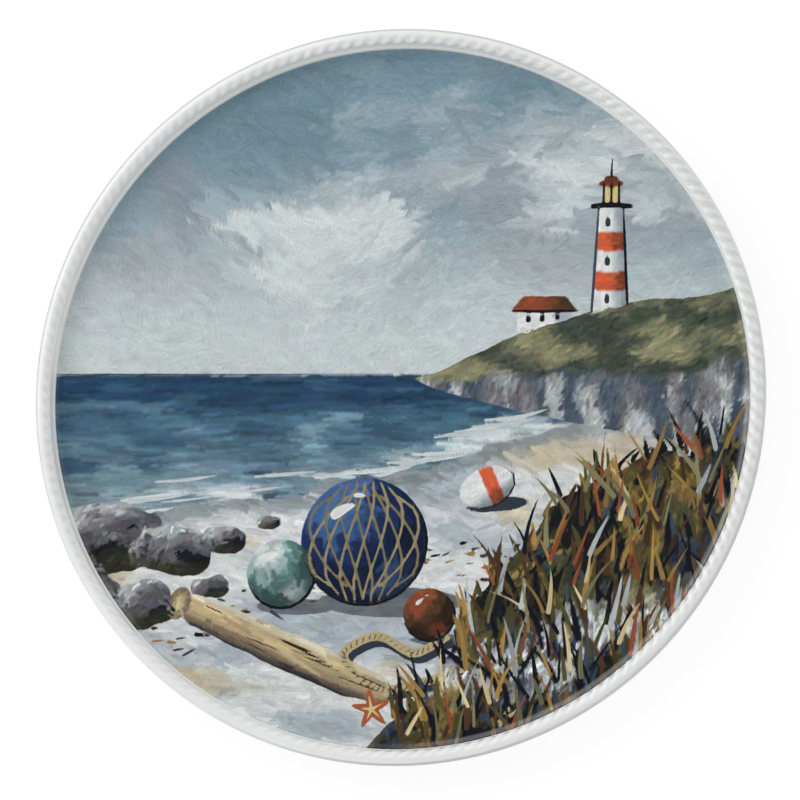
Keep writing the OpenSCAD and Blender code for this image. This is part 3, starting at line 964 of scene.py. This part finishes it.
# a rope that lies on the sand, with its shadow, and the twist of its strands
looseRope = {
    "path": [(14.5, -66), (6, -70.5), (-5, -66), (-14, -71), (-6, -80), (10, -78), (24, -74), (34, -82),
             (28, -92)],
    "thick": 2.4, "strandStep": 1.6, "twist": 55, "strand": (2.3, 0.55), "strandBack": 1.1,
    "shadow": (1.2, -1.6), "shadowThick": 2.6
}
ropePath = np.array(looseRope["path"], float)
drawLine(scape, ropePath + looseRope["shadow"], looseRope["shadowThick"], tones["slate"] * 0.8, blunt)
drawLine(forms, ropePath, looseRope["thick"], tones["straw"] * 0.9, (0.03, 0.03))
lengths = lengthsAlong(ropePath)
for mark in np.arange(1, lengths[-1], looseRope["strandStep"]):
    start, stop = alongLine(ropePath, lengths, np.array([mark, mark + 0.5]))
    twist = math.degrees(math.atan2(stop[1] - start[1], stop[0] - start[0])) + looseRope["twist"]
    lean = math.radians(twist)
    x, y = start - looseRope["strandBack"] * np.array((math.cos(lean), math.sin(lean)))
    brush(lines, x, y, twist, *looseRope["strand"], tones["woodShade"] * 0.8, ends=(0.3, 0.3))

starfish = {"x": -6, "y": -86, "arms": 5, "reach": 6.0, "turn": 98}
for k in range(starfish["arms"]):
    arm = starfish["turn"] + 360 / starfish["arms"] * k
    x, y, reach = starfish["x"], starfish["y"], starfish["reach"]
    brush(forms, x, y, arm, reach, 2.6, tones["rust"] * 1.15, ends=(0.05, 0.6))
    brush(lights, x, y, arm + 4, reach * 0.7, 0.7, tones["lamp"], ends=(0.1, 0.6))

# the sea's last lines: surf on the shore, the horizon, and what the tide left
tide = {"surfLines": 26, "leavings": 70, "leavingTones": ("night", "umber", "slate", "ochre")}
onWater, onSand = np.minimum(sea, dry), np.minimum(beach, dry)
for k in range(tide["surfLines"]):
    x, offshore = dice.uniform(-95, 30), dice.uniform(0.6, 9.0)
    y = float(throughPoints(np.array(x), coast["shore"])) + offshore
    crest = [(x, y), (x + 8, y + 0.8 + dice.normal(0, 0.5)), (x + 17, y + 2.2 + dice.normal(0, 0.6))]
    wide = dice.uniform(0.7, 1.3)
    foam = tones["foam"] * dice.uniform(0.9, 1.02)
    drawLine(lines if k % 2 else lights, crest, wide, foam, (0.4, 0.5), clip=onWater)
drawLine(lines, [(-97, 6.1), (-40, 6.0), (4, 6.2)], 0.7, tones["seaFar"] * 0.8, (0.1, 0.3))
for k in range(tide["leavings"]):
    x, y = dice.uniform(-70, 45), dice.normal(0, 2.6)
    y += -33.0 - 0.28 * (45 - x) - 0.0022 * (x + 20) ** 2
    tone = tones[tide["leavingTones"][k % 4]]
    brush(lines, x, y, dice.normal(4, 14), dice.uniform(1.5, 5.5), dice.uniform(0.6, 1.1), tone,
          ends=(0.3, 0.6), clip=onSand)
print("house, lighthouse, floats and rope painted")


def grass(layer, count, highest, length, width, names, lean, seed, deepest=99.0):
    # blades from points on the dune, no deeper below its top than that
    toss = np.random.default_rng(seed)
    for k in range(count):
        x, y = toss.uniform(0, 97), toss.uniform(-97, highest)
        if not -0.5 < at(dune, x, y) < deepest:
            continue
        tone = tones[names[toss.integers(len(names))]] * toss.uniform(0.85, 1.12)
        angle = toss.normal(lean, 17)
        brush(layer, x, y, angle, length * toss.uniform(0.55, 1.25), width * toss.uniform(0.7, 1.35), tone,
              -toss.normal(0.012 if angle < 90 else -0.012, 0.02), (0.06, 0.5))


grass(shaping, 240, -12, 11, 1.5, ("night", "slate", "umber", "night", "olive"), 96, 201)
grass(shaping, 900, -8, 7, 1.3, ("night", "umber", "olive", "ochre", "night"), 95, 204, deepest=4.5)
grass(lines, 260, -10, 14, 1.15, ("night", "olive", "ochre", "umber", "night"), 94, 202)
grass(lights, 180, -10, 14, 1.1, ("ochre", "straw", "grassLight", "rust", "stoneLight"), 92, 203)
print("grass painted")

# the picture: the film of the transfer, flat on the floor, round the cove and up to its edge
picture = {
    "squares": 178, "film": 0.15, "turn": 30, "coveSteps": 6, "undersideSteps": 4, "weld": 0.0005,
    # the parts with small strokes, where the squares are halved: middle, half width and top, in mm
    "fineParts": ((0, 100, horizon + 1.5), (62, 40, 32), (towerX, 8, 68)),
    # the print sits off the middle: what is added to a place to bring the print's middle to 0, and
    # from where to where beyond its radius it ends on bare glaze, in mm
    "offCentre": (-0.09, 0.34, 0.0), "ends": (0.02, 0.42), "bare": 0.95,
    "bristle": 0.42, "bristleLength": 0.15, "drift": 0.2, "streaks": (0.84, 1.16), "softness": 0.22,
    "wear": {"broad": 0.75, "middle": 0.8, "scape": 0.7, "forms": 0.5, "shaping": 0.55,
             "lines": 0.35, "lights": 0.35},
    "grain": 0.32, "grainShades": (0.9, 1.1), "grey": (0.25, 0.75), "hazeSize": 7.0,
    "roughness": (0.12, 0.18), "rippleSize": 4.0, "strength": 0.3, "rise": 0.00002
}
filmHeight = floorHeight + picture["film"]
filmCove = body["coveRadius"] - picture["film"]
filmEdge = pictureRadius - picture["film"] / math.sin(wallLean)
filmProfile = np.array([
    (0.0, filmHeight),
    *arc((wellRadius, filmHeight + filmCove), filmCove, -90, body["wallAngle"] - 90, picture["coveSteps"]),
    (filmEdge, pictureHeight)
])
filmLength = lengthsAlong(filmProfile)


def onDish(flat):
    # each square ring of the flat grid becomes a round one that lies on the profile
    a, b = flat[:, 0], flat[:, 1]
    wide = np.abs(a) > np.abs(b)
    share = np.where(wide, a, b)
    safe = np.where(np.abs(share) < 1e-9, 1.0, share)
    turned = np.where(wide, math.pi / 4 * b / safe, math.pi / 2 - math.pi / 4 * a / safe)
    turned += math.radians(picture["turn"])
    distance = np.abs(share) * filmLength[-1]
    radius = np.interp(distance, filmLength, filmProfile[:, 0]) * np.sign(share)
    return np.column_stack([radius * np.cos(turned), radius * np.sin(turned),
                            np.interp(distance, filmLength, filmProfile[:, 1])])


# a grid laid on that profile, and then closed round its edge and underneath
film = addGrid("picture", picture["squares"], picture["squares"])
middles = np.empty(len(film.data.polygons) * 3)
film.data.polygons.foreach_get("center", middles)
middles = onDish(middles.reshape(-1, 3))
fine = np.zeros(len(middles), bool)
for x, halfWidth, top in picture["fineParts"]:
    fine |= (np.abs(middles[:, 0] - x) < halfWidth) & (middles[:, 1] < top)
startEditing(film)
bpy.ops.mesh.select_mode(type="FACE")
bpy.ops.object.mode_set(mode="OBJECT")
film.data.polygons.foreach_set("select", fine)
bpy.ops.object.mode_set(mode="EDIT")
bpy.ops.mesh.subdivide(number_cuts=1)
bpy.ops.object.mode_set(mode="OBJECT")
placePoints(film, onDish(meshPoints(film)))
startEditing(film)
extrudeRings([
    (filmEdge, pictureHeight), (pictureRadius, pictureHeight),
    *arc((wellRadius, coveMiddle), body["coveRadius"], body["wallAngle"] - 90, -90,
         picture["undersideSteps"])
])
bpy.ops.mesh.edge_face_add()
closeMesh(picture["weld"])
spots = meshPoints(film)


def onFilm(values):
    # the sheet's values at each point of the mesh
    across, down = ((spots[:, axis] / mm + sheetReach) / sheetStep for axis in (0, 1))
    column, row = across.astype(int), down.astype(int)
    s, t = across - column, down - row
    if values.ndim == 3:
        s, t = s[:, None], t[:, None]
    return ((values[row, column] * (1 - s) + values[row, column + 1] * s) * (1 - t)
            + (values[row + 1, column] * (1 - s) + values[row + 1, column + 1] * s) * t)


def keepPaint(name, colors):
    # colours are painted as seen on screen and kept as the shader's linear ones
    seen = onFilm(colors)
    linear = np.where(seen <= 0.04045, seen / 12.92, ((seen + 0.055) / 1.055) ** 2.4)
    keepValues(film, name, np.column_stack([linear, np.ones(len(linear))]))


wash = np.where((sheetY > horizon)[..., None], sky, water)
for part, color in ((beach, sand), (headland, land), (dune, ground)):
    wash = np.where((part > 0)[..., None], color, wash)
keepPaint("wash", wash)
for name, layer in layers.items():
    keepPaint(name + "Paint", layer["color"])
    stroke = np.column_stack([onFilm(layer[key]) for key in ("along", "across", "cover")])
    keepValues(film, name + "Stroke", stroke)


def scaleColor(tree, color, factor):
    return addNode(tree, "VectorMath", {0: color, 3: factor}, operation="SCALE").outputs[0]


def paintLayerGroup():
    # one layer of strokes over what lies below: streaked by the bristles and worn at its edges
    tree, given, out = addGroup("paint_layer", {
        "Below": "Color", "Paint": "Color", "Stroke": "Vector", "Place": "Vector",
        "Bristle": "Float", "Wear": "Float", "Softness": "Float"
    }, {"Color": "Color"})
    stroke = addNode(tree, "SeparateXYZ", {0: given["Stroke"]}).outputs
    spot = addNode(tree, "SeparateXYZ", {0: given["Place"]}).outputs
    slow = calc(tree, "MULTIPLY", calc(tree, "ADD", spot[0], spot[1]), picture["drift"])
    streak = addNode(tree, "CombineXYZ", {
        0: calc(tree, "MULTIPLY", stroke[0], picture["bristleLength"]),
        1: calc(tree, "DIVIDE", stroke[1], given["Bristle"]), 2: slow
    }).outputs[0]
    bristles = noise(tree, streak, 1.0, 2.0)
    loose = calc(tree, "MULTIPLY", calc(tree, "SUBTRACT", bristles, 0.5), given["Wear"])
    inside = calc(tree, "DIVIDE", calc(tree, "ADD", stroke[2], loose), given["Softness"])
    mask = calc(tree, "ADD", inside, 0.5, clamp=True)
    streaks = remap(tree, bristles, *picture["grey"], *picture["streaks"])
    streaked = scaleColor(tree, given["Paint"], streaks)
    plug(tree, mixColors(tree, mask, given["Below"], streaked), out["Color"])
    return tree


paintLayer = paintLayerGroup()
printed, tree, shader, place = addMaterial("printed_picture")
color = attribute(tree, "wash", "Color")
for name in layers:
    color = useGroup(tree, paintLayer, {
        "Below": color, "Paint": attribute(tree, name + "Paint", "Color"),
        "Stroke": attribute(tree, name + "Stroke", "Vector"), "Place": place,
        "Bristle": picture["bristle"], "Softness": picture["softness"], "Wear": picture["wear"][name]
    })["Color"]
weave = noise(tree, place, picture["grain"], 2.0)
color = scaleColor(tree, color, remap(tree, weave, *picture["grey"], *picture["grainShades"]))
fromMiddle = addNode(tree, "VectorMath", {0: place, 1: (1, 1, 0), 2: picture["offCentre"]},
                     operation="MULTIPLY_ADD").outputs[0]
reach = addNode(tree, "VectorMath", {0: fromMiddle}, operation="LENGTH").outputs["Value"]
bareFrom, bareTo = (filmEdge + more for more in picture["ends"])
bare = remap(tree, reach, bareFrom, bareTo, 0.0, picture["bare"])
plug(tree, mixColors(tree, bare, color, body["white"]), shader.inputs["Base Color"])
haze = noise(tree, place, picture["hazeSize"], 3.0)
plug(tree, remap(tree, haze, *glazing["grey"], *picture["roughness"]), shader.inputs["Roughness"])
ripples = noise(tree, place, picture["rippleSize"], 1.0)
plug(tree, bumped(tree, ripples, picture), shader.inputs["Normal"])
shader.inputs["IOR"].default_value = glazing["refraction"]
finishPiece(film, printed, "picture_transfer")
print("picture fired on,", len(film.data.vertices), "points")
